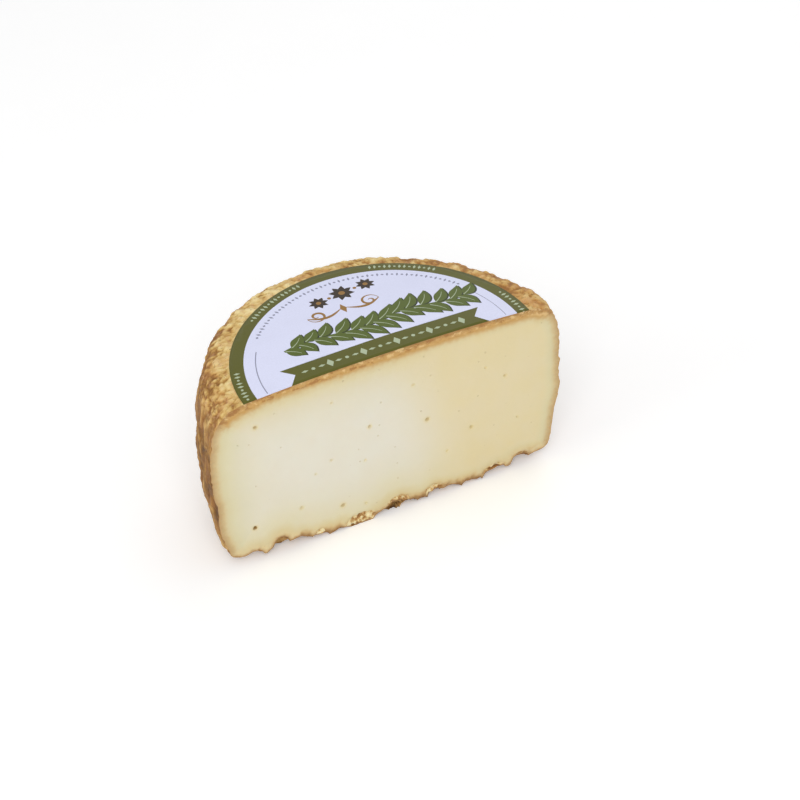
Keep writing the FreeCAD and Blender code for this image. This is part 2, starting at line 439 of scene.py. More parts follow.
def cut_points(outline):
    """Points spread over the cut and the depth of each, the outline's own points first."""
    draw = random.Random(5)
    wide, in_rough = spread_points(outline, GRAIN, draw)
    spread = wide[~in_rough]
    close, in_rough = spread_points(outline, ROUGH_GRAIN, draw)
    spread = np.vstack([spread, close[in_rough]])
    # room for the rings of the eyes
    for x, z, width, _ in EYES:
        spread = spread[np.hypot(spread[:, 0] - x, spread[:, 1] - z) > 0.62 * width + 0.5]
    rings, depths = eye_rings(draw)
    points = np.vstack([outline, spread, rings])
    depth = np.concatenate([np.zeros(len(outline) + len(spread)), depths])
    return points, depth


def paste_relief(points, edge, torn):
    """Small unevenness that the knife left in the paste, and crumbs where it tore."""
    flat = np.column_stack([points[:, 0], np.zeros(len(points)), points[:, 1]])
    drag = noise_at(flat * np.array([0.35, 1, 1.0]), 4.0, 21)
    waves = noise_at(flat, 26.0, 22)
    crumb = fractal_at(flat, 2.4, 23)
    inner = rise(edge, 0.0, 2.5)
    rough = 1 - rise(edge, 1.5, 5.0)
    smooth = (0.07 * drag + 0.22 * waves + 0.05 * crumb) * inner
    smooth += 0.6 * rough * np.minimum(crumb, 0.2) * rise(edge, 0.0, 0.6)
    lumps = 1.4 * cells_at(flat, 3.4, 24) + 0.6 * crumb - 1.6
    return smooth * (1 - torn) + lumps * torn * rise(edge, 0.0, 0.7)


# ---------------- the cheese

# The cheese's material slots.
RIND, PASTE = 0, 1


def cut_sheet(outline, outline_up):
    """The cut face inside its outline, as (corners, sources, triangles, depth, marks).

    A corner's source is the number of the point that it comes from, and the outline's points
    come first. Depths and marks are given for each point.
    """
    cut, depth = cut_points(outline)
    edge = distance_to_outline(cut, outline)
    edge[: len(outline)] = 0
    torn = torn_at(cut)
    marks = {
        "edge": edge,
        "facing": nearest_value(cut, outline, outline_up),
        "ring_and_shade": eye_ring_and_shade(cut),
        "torn": torn,
    }
    corners, _, triangles, origins, _, _ = delaunay_2d_cdt(
        [Vector(p) for p in cut], closed_edges(0, len(outline)), [], 1, 1e-5
    )
    sources = [min(origin) for origin in origins]
    return corners, sources, triangles, depth - paste_relief(cut, edge, torn), marks


def carved_skin():
    """The skin with its fine rind, as a grid of points, and how far the rind rises at each."""
    grid = softened(cast_skin(), 6)
    flat = grid.reshape(-1, 3)
    height = rind_relief(flat) + foot_pits(flat)
    moved = height - paper_bed(flat) + drawn_lip(flat)
    carved = (flat + outward(grid).reshape(-1, 3) * moved[:, None]).reshape(grid.shape)
    carved[:, [0, -1], 1] = CUT_Y
    carved[:, :, 2] = np.maximum(carved[:, :, 2], 0.0)
    return carved, height.reshape(grid.shape[:2])


def build_cheese():
    """The half wheel: rind and cut face in one closed mesh."""
    grid, height = carved_skin()
    rows, columns = height.shape
    # one vertex for each pole, then the rows between them
    points = [grid[0, 0], grid[-1, 0], *grid[1:-1].reshape(-1, 3)]
    lifts = np.array([0.0, 0.0, *height[1:-1].ravel()])
    crowns = rise(np.array(points)[:, 2], TOP_Z - 17, TOP_Z - 8)
    numbers = np.zeros((rows, columns), int)
    numbers[1:-1] = 2 + np.arange((rows - 2) * columns).reshape(-1, columns)
    numbers[-1] = 1
    numbers = numbers.tolist()

    faces = []
    for above, below in zip(numbers, numbers[1:]):
        for column in range(columns - 1):
            corners = (above[column], below[column], below[column + 1], above[column + 1])
            faces.append(tuple(dict.fromkeys(corners)))
    slots = [RIND] * len(faces)

    rim = [row[0] for row in numbers] + [row[-1] for row in numbers[-2:0:-1]]
    rim_up = [up for _, _, _, up in guide_rows()]
    rim_up += rim_up[-2:0:-1]
    outline = np.array([(points[v][0], points[v][2]) for v in rim])
    corners, sources, triangles, depth, marks = cut_sheet(outline, rim_up)
    # on the rim the sheet takes the skin's vertices, and elsewhere its own
    vertices = []
    own = []
    for (x, z), source in zip(corners, sources):
        if source < len(rim):
            vertices.append(rim[source])
        else:
            vertices.append(len(points))
            points.append((x, CUT_Y + depth[source], z))
            own.append(source)
    for a, b, c in triangles:
        faces.append((vertices[a], vertices[b], vertices[c]))
        slots.append(PASTE)

    piece = new_mesh("half_wheel", points, faces, slots)
    # the rind's height, which the rind's material turns into painted light and shade
    put_attribute(piece, "relief_shade", np.append(lifts, np.zeros(len(own))))
    put_attribute(piece, "crown", np.append(crowns, np.zeros(len(own))))
    for name, values in marks.items():
        on_skin = np.zeros(len(lifts))
        if name == "facing":
            on_skin[rim] = rim_up
        put_attribute(piece, name, np.append(on_skin, values[own]))
    sharpen_between_slots(piece)
    return piece


def sharpen_between_slots(piece):
    """Keeps a crisp edge where faces of different materials meet, and all faces outward."""
    work = bmesh.new()
    work.from_mesh(piece.data)
    bmesh.ops.recalc_face_normals(work, faces=work.faces)
    for edge in work.edges:
        kinds = {face.material_index for face in edge.link_faces}
        edge.smooth = len(kinds) == 1
    work.to_mesh(piece.data)
    work.free()


# ---------------- the paper label

# Inks, as (name, sRGB colour, roughness). A face's slot is its ink's place in this list.
INKS = [
    ("paper_white", (223, 226, 250), 0.5),
    ("ring_green", (90, 90, 30), 0.45),
    ("ring_pale", (178, 190, 160), 0.5),
    ("line_grey", (142, 144, 166), 0.5),
    ("leaf_olive", (84, 98, 34), 0.45),
    ("leaf_shade", (44, 50, 26), 0.45),
    ("scroll_gold", (150, 112, 58), 0.45),
    ("badge_dark", (52, 41, 30), 0.45),
]
WHITE, GREEN, PALE, GREY, OLIVE, SHADE, GOLD, DARK = range(len(INKS))
# Where the green ring ends and the white begins.
RING_IN = 67.6
# How far the paper's own edge stands out of the knife's cut.
PAPER_OUT = 0.02


def polar(radius, degrees):
    """A point of the label, from its centre."""
    angle = math.radians(degrees)
    return np.array([radius * math.cos(angle), radius * math.sin(angle)])


def lozenge(centre, long, wide, degrees):
    """A diamond with its long half along a direction."""
    along = polar(1.0, degrees)
    across = np.array([-along[1], along[0]])
    return [centre + along * long, centre + across * wide, centre - along * long, centre - across * wide]


def dot(centre, radius, count=12):
    """A round dot."""
    return [centre + polar(radius, 360 * step / count) for step in range(count)]


def stroke(path, widths):
    """A line of changing width along a path of points."""
    path = np.asarray(path)
    along = np.gradient(path, axis=0)
    along /= np.linalg.norm(along, axis=1, keepdims=True)
    across = np.column_stack([-along[:, 1], along[:, 0]])
    half = across * (np.asarray(widths) / 2)[:, None]
    return list(path + half) + list((path - half)[::-1])


def arc_line(radius, width, start, end, steps=24):
    """A thin line that follows the label's edge."""
    path = [polar(radius, degrees) for degrees in np.linspace(start, end, steps)]
    return stroke(path, [width] * steps)


def leaf(base, tip, width, bend=0.0, steps=9):
    """A pointed leaf from base to tip, and its midrib."""
    base, tip = np.asarray(base, float), np.asarray(tip, float)
    across = np.array([-(tip - base)[1], (tip - base)[0]])
    share = np.linspace(0, 1, steps)
    spine = base + share[:, None] * (tip - base) + (np.sin(share * math.pi) * bend)[:, None] * across
    blade = stroke(spine, width * np.sin(math.pi * share**0.8) + 0.12)
    rib = stroke(spine[:-2], np.linspace(0.5, 0.2, steps - 2))
    return blade, rib


def scroll(start, size, turns, hand, steps=26):
    """A spiral stroke that winds inwards, thick in the middle; hand is 1 or -1."""
    share = np.linspace(0, 1, steps)
    reach = size * (1 - 0.86 * share)
    angle = hand * 2 * math.pi * turns * share
    path = np.column_stack([reach * np.cos(angle), reach * np.sin(angle)]) * (hand, 1)
    path = path - path[0] + np.asarray(start)
    return stroke(path, 0.35 + 1.15 * np.sin(math.pi * share) ** 1.5)


def print_fields():
    """Every field of print over the white paper, as (outline, ink), in painting order."""
    fields = []
    # beads along the green ring, in four groups
    for start, end in ((164, 182), (102, 132), (45, 73), (-2, 15)):
        for step, degrees in enumerate(np.arange(start, end, 2.0)):
            centre = polar(71.3, degrees)
            bead = dot(centre, 0.65) if step % 3 == 2 else lozenge(centre, 1.6, 0.75, degrees)
            fields.append((bead, PALE))
    # a string of small beads and thin lines inside the ring
    for step, degrees in enumerate(np.arange(31, 143, 2.2)):
        long, wide = (1.5, 0.62) if step % 2 else (0.75, 0.9)
        fields.append((lozenge(polar(63.6, degrees), long, wide, degrees), GREY))
    fields.append((arc_line(62.0, 0.5, 151, 181), GREY))
    fields.append((arc_line(62.0, 0.35, -1, 25), GREY))
    return fields + badge_fields() + scroll_fields() + garland_fields() + banner_fields()


def badge_fields():
    """A short chain of dark rosettes high on the label."""
    fields = []
    for place, (u, v, size) in enumerate([(-12.5, 50.6, 5.0), (1.0, 53.0, 6.4), (14.5, 54.6, 5.0)]):
        centre = np.array([u, v])
        for petal in range(8):
            turn = 45 * petal + 22.5 * (place % 2)
            blade, _ = leaf(centre, centre + polar(size, turn), size * 0.52)
            fields.append((blade, DARK))
        fields.append((dot(centre, size * 0.5, 16), DARK))
        fields.append((dot(centre, size * 0.26), GOLD))
    for u, v in ((-6.3, 51.8), (8.4, 53.9)):
        fields.append((dot(np.array([u, v]), 1.0), GOLD))
    return fields


def scroll_fields():
    """Two gold scrolls and a drop between the badge and the garland."""
    middle = np.array([-4.0, 39.0])
    fields = []
    for hand in (1, -1):
        fields.append((scroll(middle + (hand * 19.0, 1.5), 5.0, 1.35, hand), GOLD))
        share = np.linspace(0, 1, 16)
        sweep = np.column_stack([hand * (1.6 + 17.4 * share), 1.6 - 3.4 * np.sin(math.pi * share)])
        fields.append((stroke(middle + sweep, 0.45 + 1.3 * np.sin(math.pi * share)), GOLD))
    fields.append((lozenge(middle + (0, 1.5), 4.0, 1.7, 90), GOLD))
    return fields


def garland_fields():
    """A broad garland of olive leaves across the label."""
    fields = []
    left, right = -43.0, 56.0
    share = np.linspace(0, 1, 40)
    stem_x = left + (right - left) * share
    stem_y = 22.6 + 1.6 * np.sin(4 * math.pi * share) + 1.5 * share
    fields.append((stroke(np.column_stack([stem_x, stem_y]), [1.5] * 40), OLIVE))
    draw = random.Random(8)
    count = 13
    for step in range(count):
        part = (step + 0.3) / count
        x = left + (right - left) * part
        y = float(np.interp(x, stem_x, stem_y))
        for side in (1, -1):
            lean = 50 + draw.uniform(-8, 8)
            long = 13.4 - 3.6 * abs(2 * part - 1) ** 2 + draw.uniform(-1.2, 1.2)
            base = np.array([x + 1.8 * side, y + 0.4 * side])
            tip = base + polar(long, side * lean)
            blade, rib = leaf(base, tip, 6.4, bend=-0.09 * side)
            shade, _ = leaf(base + (0.6, -0.6), tip + (0.6, -0.6), 6.4, bend=-0.09 * side)
            fields += [(shade, SHADE), (blade, OLIVE), (rib, PALE)]
    return fields


def banner_fields():
    """The green band beside the cut, notched at both ends, with a row of pale marks."""
    low, high, left, right, notch = CUT_Y - 1, 10.4, -51.0, 53.0, 5.2
    middle = (CUT_Y + high) / 2
    outline = [
        (left, low),
        (right, low),
        (right - notch, middle),
        (right, high),
        (left, high),
        (left + notch, middle),
    ]
    fields = [([np.array(p, float) for p in outline], GREEN)]
    for step, u in enumerate(np.arange(left + 10, right - 9, 4.3)):
        centre = np.array([u, middle])
        if step % 4 == 3:
            mark = lozenge(centre, 2.9, 1.8, 90)
        elif step % 2:
            mark = dot(centre, 0.95)
        else:
            mark = lozenge(centre, 1.8, 0.8, 0)
        fields.append((mark, PALE))
    return fields


def dome_height():
    """The level of the cheese's top, smoothed, as a function of u and v arrays."""
    tree = solid_tree("cheese")

    def packed_level(u, v):
        return tree.ray_cast(Vector((u + LABEL_X, v, FAR)), Vector((0, 0, -1)))[0].z

    places, levels = [], []
    for radius in np.arange(0, LABEL_R, 4.0):
        for degrees in np.arange(-30, 211, 3.0):
            u, v = polar(radius, degrees)
            if v >= CUT_Y + PAPER_OUT:
                places.append((u, v))
                levels.append(packed_level(u, v))

    def terms(u, v):
        """The products of powers of u and v up to the sixth degree."""
        u, v = u / LABEL_R, v / LABEL_R
        return np.column_stack([u**i * v**j for i in range(7) for j in range(7 - i)])

    fit = np.linalg.lstsq(terms(*np.array(places).T), np.array(levels), rcond=None)[0]
    # at the cut the paper lies on the skin itself, and a little behind it on the smoothed level
    along = np.arange(1 - LABEL_R, LABEL_R, 1.5)
    behind = CUT_Y + JUST_BEHIND
    seats = np.array([packed_level(u, behind) for u in along])
    gap = seats - terms(along, np.full(len(along), behind)) @ fit

    def level(u, v):
        return terms(u, v) @ fit + np.interp(u, along, gap) * (1 - rise(v, CUT_Y, CUT_Y + 6))

    return level


def arc_to_cut(radius, count):
    """Points of the label's half circle of that radius, which ends at the cut."""
    low = math.degrees(math.asin((CUT_Y - PAPER_OUT) / radius))
    return [polar(radius, degrees) for degrees in np.linspace(low, 180 - low, count)]


def label_sheet():
    """The label laid flat: its points, its triangles and the ink of each triangle."""
    border = arc_to_cut(LABEL_R, 220)
    cut_edge = np.linspace(border[-1], border[0], 100)
    border += list(cut_edge[1:-1])
    ring = arc_to_cut(RING_IN, 200)
    fields = print_fields()

    points = border + ring
    edges = closed_edges(0, len(border))
    edges += [(len(border) + i, len(border) + i + 1) for i in range(len(ring) - 1)]
    for outline, _ in fields:
        edges += closed_edges(len(points), len(outline))
        points += list(outline)
    for row, v in enumerate(np.arange(CUT_Y + 2, LABEL_R, 2.6)):
        for u in np.arange(-LABEL_R + 1.5 * (row % 2), LABEL_R, 3.0):
            if math.hypot(u, v) < LABEL_R - 1.5:
                points.append(np.array([u, v]))
    flat, _, triangles, _, _, _ = delaunay_2d_cdt([Vector(p) for p in points], edges, [], 0, 1e-4)
    flat = np.array([tuple(p) for p in flat])
    triangles = np.array([t for t in triangles if len(t) == 3])

    middles = flat[triangles].mean(axis=1)
    radius = np.hypot(middles[:, 0], middles[:, 1])
    kept = (radius < LABEL_R) & inside(middles, np.array(border))
    triangles, middles, radius = triangles[kept], middles[kept], radius[kept]
    ink = np.where(radius > RING_IN, GREEN, WHITE)
    for outline, colour in fields:
        ink[inside(middles, np.array(outline))] = colour

    used = np.unique(triangles)
    renumber = -np.ones(len(flat), int)
    renumber[used] = np.arange(len(used))
    return flat[used], renumber[triangles], ink


def build_label():
    """The half disc of paper on the top, with its print."""
    flat, triangles, ink = label_sheet()
    u, y = flat.T
    x = u + LABEL_X
    level = dome_height()(u, y)
    reach = np.hypot(u, y)
    seats = np.column_stack([x, y, level])
    cockle = np.maximum(noise_at(seats, 9.0, 31), 0) * rise(reach, LABEL_R - 9, LABEL_R)
    swell = 0.1 * noise_at(seats, 24.0, 32)
    pressed = 1 - rise(y, CUT_Y, CUT_Y + 2.5)
    top = level + PAPER + (0.35 * cockle + swell) * (1 - pressed)
    bottom = top - PAPER
    vertices = np.vstack([np.column_stack([x, y, top]), np.column_stack([x, y, bottom])])

    count = len(flat)
    triangles = triangles.tolist()
    faces = [(a, b, c) for a, b, c in triangles]
    faces += [(c + count, b + count, a + count) for a, b, c in triangles]
    slots = list(ink) + [WHITE] * len(triangles)
    sides = {}
    for (a, b, c), colour in zip(triangles, ink):
        sides.update({(a, b): colour, (b, c): colour, (c, a): colour})
    for (a, b), colour in sides.items():
        if (b, a) not in sides:
            faces.append((b, a, a + count, b + count))
            slots.append(colour)
    piece = new_mesh("paper_label", vertices, faces, slots)
    for name, colour, roughness in INKS:
        piece.data.materials.append(print_material(name, colour, roughness))
    return piece


# ---------------- materials


def linear(colour):
    """sRGB numbers from 0 to 255 as a linear colour with alpha."""
    parts = [c / 255 for c in colour]
    return tuple(p / 12.92 if p <= 0.04045 else ((p + 0.055) / 1.055) ** 2.4 for p in parts) + (1,)


class Shader:
    """A node material in the making. Places are in millimetres on the object."""

    def __init__(self, name, roughness, specular):
        self.material = bpy.data.materials.new(name)
        self.material.use_nodes = True
        self.tree = self.material.node_tree
        self.surface = self.tree.nodes["Principled BSDF"]
        self.surface.inputs["Roughness"].default_value = roughness
        self.surface.inputs["Specular IOR Level"].default_value = specular
        metres = self.node("ShaderNodeTexCoord", {}).outputs["Object"]
        scale = self.node("ShaderNodeVectorMath", {0: metres, "Scale": 1 / MM}, operation="SCALE")
        self.place = scale.outputs[0]

    def node(self, kind, inputs, **settings):
        """A node of a kind, with its settings made and its inputs fed."""
        made = self.tree.nodes.new(kind)
        for key, value in settings.items():
            setattr(made, key, value)
        for key, value in inputs.items():
            self.feed(made.inputs[key], value)
        return made

    def feed(self, socket, value):
        """Links an output, or sets a plain value."""
        if isinstance(value, bpy.types.NodeSocket):
            self.tree.links.new(value, socket)
        else:
            socket.default_value = value

    def stretched(self, x, y, z):
        """The place with each axis scaled."""
        inputs = {0: self.place, 1: (x, y, z)}
        return self.node("ShaderNodeVectorMath", inputs, operation="MULTIPLY").outputs[0]

    def noise(self, size, detail=3.0, rough=0.55, place=None):
        """Smooth noise from 0 to 1 with lumps of that size."""
        inputs = {"Vector": place or self.place, "Scale": 1 / size, "Detail": detail, "Roughness": rough}
        return self.node("ShaderNodeTexNoise", inputs).outputs["Fac"]

    def cells(self, size):
        """Distance to the nearest of scattered points, in their spacing."""
        inputs = {"Vector": self.place, "Scale": 1 / size}
        return self.node("ShaderNodeTexVoronoi", inputs).outputs["Distance"]

    def attribute(self, name):
        """A number that the mesh holds for each vertex."""
        return self.node("ShaderNodeAttribute", {}, attribute_name=name).outputs["Fac"]

    def axes(self):
        """The place's x, y and z."""
        return self.node("ShaderNodeSeparateXYZ", {0: self.place}).outputs

    def reckon(self, operation, a, b):
        return self.node("ShaderNodeMath", {0: a, 1: b}, operation=operation).outputs[0]

    def plus(self, a, b):
        return self.reckon("ADD", a, b)

    def minus(self, a, b):
        return self.reckon("SUBTRACT", a, b)

    def times(self, a, b):
        return self.reckon("MULTIPLY", a, b)

    def step(self, value, low, high, to_low=0.0, to_high=1.0):
        """A smooth step of the value, clamped to the two ends."""
        inputs = {"Value": value, "From Min": low, "From Max": high, "To Min": to_low, "To Max": to_high}
        return self.node("ShaderNodeMapRange", inputs, interpolation_type="SMOOTHSTEP").outputs["Result"]

    def mix(self, factor, a, b):
        """Two colours mixed; plain ones are given in sRGB numbers."""
        a, b = (linear(c) if isinstance(c, tuple) else c for c in (a, b))
        inputs = {"Factor": factor, "A": a, "B": b}
        return self.node("ShaderNodeMix", inputs, data_type="RGBA").outputs["Result"]

    def ramp(self, factor, stops):
        """A colour ramp through (position, sRGB) stops."""
        made = self.node("ShaderNodeValToRGB", {"Fac": factor})
        elements = made.color_ramp.elements
        while len(elements) < len(stops):
            elements.new(0.5)
        for element, (position, colour) in zip(elements, stops):
            element.position = position
            element.color = linear(colour)
        return made.outputs["Color"]

    def bump(self, heights):
        """Bumps stacked from (height output, millimetres) pairs, into the surface."""
        inputs = {}
        for value, millimetres in heights:
            inputs.update(Distance=millimetres * MM, Height=value)
            inputs["Normal"] = self.node("ShaderNodeBump", inputs).outputs["Normal"]
        self.feed(self.surface.inputs["Normal"], inputs["Normal"])

    def finish(self, colour, roughness=None):
        """The material, with its colour and, where it varies, its roughness."""
        self.feed(self.surface.inputs["Base Color"], colour)
        if roughness is not None:
            self.feed(self.surface.inputs["Roughness"], roughness)
        return self.material


def top_colour(shader, tone, broad):
    """Gold, palest on the left and behind, and browner on the right and towards the rim."""
    x, y, level = shader.axes()
    wavy = shader.plus(shader.plus(level, shader.times(broad, 4.0)), shader.times(y, 0.035))
    rimward = shader.step(wavy, TOP_Z - 3.5, TOP_Z + 0.5, -0.95, 0.0)
    rimward = shader.times(rimward, shader.step(y, 8.0, 28.0, 0.2, 1.0))
    rimward = shader.times(rimward, shader.step(x, -20.0, 50.0, 1.0, 0.4))
    corner = shader.times(shader.step(y, 20.0, 28.0, -0.6, 0.0), shader.step(x, 20.0, 60.0))
    behind = shader.plus(shader.step(x, -40.0, 20.0, 0.2, -0.25), corner)
    beside = shader.step(x, -20.0, 20.0, -0.15, 0.3)
    from_cut = shader.step(y, 6.0, 13.0)
    sideward = shader.plus(shader.times(from_cut, shader.minus(behind, beside)), beside)
    sideward = shader.plus(sideward, shader.step(y, 50.0, 76.0, 0.0, 0.2))
    shade = shader.plus(tone, shader.plus(rimward, sideward))
    golds = [(0.0, (132, 88, 38)), (0.2, (180, 136, 72)), (0.42, (211, 177, 108)),
             (0.7, (229, 202, 138)), (1.0, (240, 220, 164))]
    return shader.ramp(shader.step(shade, -1.5, 0.9), golds)


def side_colour(shader, tone, level):
    """Tan and brown in upright streaks, paler high up and by the foot."""
    upper = shader.step(level, 60.0, 84.0, 0.0, 0.5)
    lower = shader.step(level, 10.0, 44.0, 0.6, -0.1)
    streak = shader.noise(3.6, 4.0, 0.6, shader.stretched(1.0, 1.0, 0.25))
    streaks = shader.times(shader.minus(streak, 0.5), 3.4)
    shade = shader.plus(tone, shader.plus(streaks, shader.plus(upper, lower)))
    tans = [(0.0, (76, 48, 18)), (0.25, (114, 77, 32)), (0.55, (147, 105, 50)),
            (0.8, (182, 140, 78)), (1.0, (212, 175, 114))]
    return shader.ramp(shader.step(shade, -1.5, 1.7), tans)


def rind_material():
    """Rough rind: gold on the top and tan on the side, painted paler on the knobs and browner in the
    furrows as painted light and shade.
    """
    shader = Shader("rind", 0.72, 0.3)
    crown = shader.attribute("crown")
    x, _, level = shader.axes()
    broad = shader.noise(15.0, 3.0)
    patch = shader.noise(5.0, 4.0, 0.6)
    speck = shader.noise(1.5, 3.0, 0.6)
    # painted light and shade: the rind's height makes its knobs paler and its furrows browner
    relief_shade = shader.times(shader.attribute("relief_shade"), 1.2)
    tone = shader.plus(relief_shade, shader.times(shader.minus(patch, 0.5), 2.0))
    colour = shader.mix(crown, side_colour(shader, tone, level), top_colour(shader, tone, broad))

    blotched = shader.step(broad, 0.48, 0.62, 0.0, 0.4)
    orange = shader.plus(blotched, shader.step(x, 20.0, 60.0, 0.0, 0.3))
    colour = shader.mix(orange, colour, shader.mix(crown, (160, 106, 56), (204, 148, 84)))
    pink = shader.times(shader.step(shader.noise(4.2, 2.0), 0.54, 0.64, 0.0, 0.4), crown)
    colour = shader.mix(pink, colour, (212, 166, 120))
    dark = shader.step(speck, 0.58, 0.7, 0.0, 0.55)
    colour = shader.mix(dark, colour, (104, 66, 32))
    # brown spots where the top turns over into the side
    low = shader.step(level, TOP_Z - 16, TOP_Z - 11)
    high = shader.step(level, TOP_Z - 7.5, TOP_Z - 4, 1.0, 0.0)
    near_rim = shader.times(low, high)
    spots = shader.noise(3.0, 2.0, 0.5)
    brown = shader.times(near_rim, shader.step(spots, 0.52, 0.62, 0.0, 0.75))
    colour = shader.mix(brown, colour, (140, 88, 42))
    shader.bump([(patch, 0.45), (speck, 0.45), (shader.noise(0.5, 2.0), 0.12)])
    return shader.finish(colour, shader.step(patch, 0.3, 0.7, 0.62, 0.82))


def edge_colour(shader, edge, wobble):
    """The rind's line and the darker paste along the edge of the cut, by distance from it."""
    x = shader.axes()[0]
    facing = shader.attribute("facing")
    above = shader.step(facing, 0.25, 0.85)
    below = shader.step(facing, -0.35, -0.8)

    def bands(unevenness, stops, shift=0.0):
        """Colours through (distance, colour) stops, out to where the paste is all ivory."""
        reach = 34.0
        near = shader.plus(shader.plus(edge, shader.times(wobble, unevenness)), shift)
        share = shader.node("ShaderNodeMapRange", {"Value": near, "From Max": reach})
        ivory = [(22.0, (225, 219, 197)), (reach, (227, 222, 205))]
        stops = [(place / reach, colour) for place, colour in stops + ivory]
        return shader.ramp(share.outputs["Result"], stops)

    side = bands(1.6, [(0.0, (186, 150, 101)), (0.6, (192, 160, 110)), (1.6, (198, 171, 122)),
                       (2.6, (206, 182, 133)), (3.6, (212, 195, 149)), (5.0, (215, 204, 162)),
                       (8.0, (218, 210, 173)), (13.0, (220, 213, 184))])
    # the top's band is thickest by the left corner and right of the middle
    swell = shader.plus(shader.step(x, -74.0, -62.0, -0.8, 0.6), shader.step(x, -45.0, 30.0, 0.0, -1.4))
    top = bands(3.6, [(0.0, (172, 129, 72)), (1.0, (192, 149, 86)), (2.0, (200, 157, 91)),
                      (3.4, (197, 154, 86)), (4.4, (202, 168, 110)), (5.4, (209, 185, 134)),
                      (6.8, (216, 199, 153)), (9.2, (220, 208, 168)), (14.0, (222, 213, 184))], swell)
    # along the foot it is thin by the left corner, and thick here and there from there on
    thin = bands(1.2, [(0.0, (150, 110, 62)), (0.5, (184, 148, 98)), (1.2, (210, 184, 134)),
                       (2.2, (219, 199, 150)), (4.5, (218, 203, 157)), (9.0, (222, 213, 178))])
    thick = bands(2.4, [(0.0, (138, 100, 56)), (1.0, (162, 124, 74)), (1.8, (190, 155, 102)),
                        (2.8, (209, 181, 128)), (4.0, (216, 196, 146)), (6.0, (218, 204, 158)),
                        (9.0, (222, 213, 178))])
    drift = shader.noise(13.0, 1.0)
    thickness = shader.times(shader.step(drift, 0.46, 0.56), shader.step(x, -66.0, -54.0))
    colour = shader.mix(below, shader.mix(above, side, top), shader.mix(thickness, thin, thick))

    # blotches in the top rind that the knife laid open
    clots = shader.noise(2.8, 4.0, 0.65, shader.stretched(0.6, 1.0, 1.0))
    laid_open = shader.times(shader.step(edge, 2.4, 4.4, 1.0, 0.0), above)
    deep = shader.times(shader.step(clots, 0.53, 0.62, 0.0, 0.75), laid_open)
    colour = shader.mix(deep, colour, (160, 106, 50))
    pale = shader.times(shader.step(clots, 0.46, 0.38, 0.0, 0.65), laid_open)
    return shader.mix(pale, colour, (230, 198, 140))


def paste_material():
    """Ivory paste, yellower towards the rind, with a painted warm glow of reflected light to the right,
    and with its eyes and crumbs; its eyes and pinholes hold painted shade.
    """
    shader = Shader("paste", 0.5, 0.4)
    edge = shader.attribute("edge")
    x, _, z = shader.axes()
    wobble = shader.minus(shader.noise(2.6, 4.0, 0.6), 0.5)
    body = edge_colour(shader, edge, wobble)

    inner = shader.step(edge, 3.0, 10.0)
    # painted reflected light: a warm glow over the right of the cut
    painted_warm_glow = shader.step(shader.plus(x, shader.times(z, 0.25)), 10.0, 54.0, 0.0, 0.85)
    body = shader.mix(shader.times(painted_warm_glow, inner), body, (224, 207, 158))
    mottle = shader.step(shader.noise(17.0, 3.0), 0.35, 0.68, 0.0, 0.2)
    body = shader.mix(shader.times(mottle, inner), body, (224, 212, 188))
    # pinholes with painted shade: darker in colour, and dented by the bump
    pin = shader.step(shader.cells(5.2), 0.05, 0.11, 1.0, 0.0)
    sparse = shader.step(shader.noise(9.0, 1.0), 0.5, 0.56)
    shaded_pinholes = shader.times(pin, sparse)
    body = shader.mix(shader.times(shaded_pinholes, 0.5), body, (206, 186, 138))

    ring_and_shade = shader.attribute("ring_and_shade")
    # a golden ring round each eye, then painted shade darkening the hollows of the deeper eyes
    body = shader.mix(shader.step(ring_and_shade, 0.0, 0.8, 0.0, 0.6), body, (222, 204, 148))
    body = shader.mix(shader.step(ring_and_shade, 0.6, 1.0, 0.0, 0.95), body, (150, 112, 44))

    crumbs = [(0.0, (152, 106, 52)), (0.35, (200, 158, 96)), (0.6, (222, 192, 132)),
              (1.0, (240, 226, 180))]
    crumb = shader.ramp(shader.step(shader.noise(2.4, 3.0, 0.6), 0.36, 0.64), crumbs)
    ragged = shader.plus(shader.attribute("torn"), shader.times(wobble, 1.6))
    body = shader.mix(shader.step(ragged, 0.35, 0.6), body, crumb)

    fine = shader.noise(0.8, 3.0)
    shader.bump([(shader.noise(5.0, 4.0), 0.12), (fine, 0.05), (shader.minus(1.0, shaded_pinholes), 0.25)])
    surface = shader.surface.inputs
    surface["Subsurface Weight"].default_value = 0.12
    surface["Subsurface Radius"].default_value = (1.0, 0.75, 0.45)
    surface["Subsurface Scale"].default_value = 0.003
    return shader.finish(body, shader.step(fine, 0.3, 0.7, 0.46, 0.6))


def print_material(name, colour, roughness):
    """Ink or bare paper: a trace of fibre in the colour, a satin face with a soft cockle."""
    shader = Shader(name, roughness, 0.22)
    fibre = shader.noise(0.7, 3.0, 0.6, shader.stretched(1.0, 2.2, 1.0))
    cloud = shader.noise(16.0, 2.0)
    duller = tuple(c * 0.93 for c in colour)
    mixed = shader.mix(shader.step(fibre, 0.3, 0.75, 0.0, 0.5), colour, duller)
    mixed = shader.mix(shader.step(cloud, 0.4, 0.7, 0.0, 0.35), mixed, tuple(c * 0.96 for c in colour))
    shader.bump([(cloud, 0.25), (fibre, 0.015)])
    return shader.finish(mixed)


# ---------------- the stage

# The camera's place in millimetres, and where it looks: degrees towards +X from +Y, down,
# and turned about its own axis.
CAMERA_PLACE = Vector((-270.5, -567.6, 575.2))
CAMERA_YAW = 26.0
CAMERA_DOWN = 38.8
CAMERA_ROLL = -1.9
CAMERA_LENS = 76.5
SENSOR = 36.0
# What the lamps aim at, in metres.
MIDDLE = Vector((0, 0.03, 0.05))
# How brightly the room lights things, and how much the floor glows where it is seen.
ROOM_LIGHT = 0.6
FLOOR_GLOW = 0.14


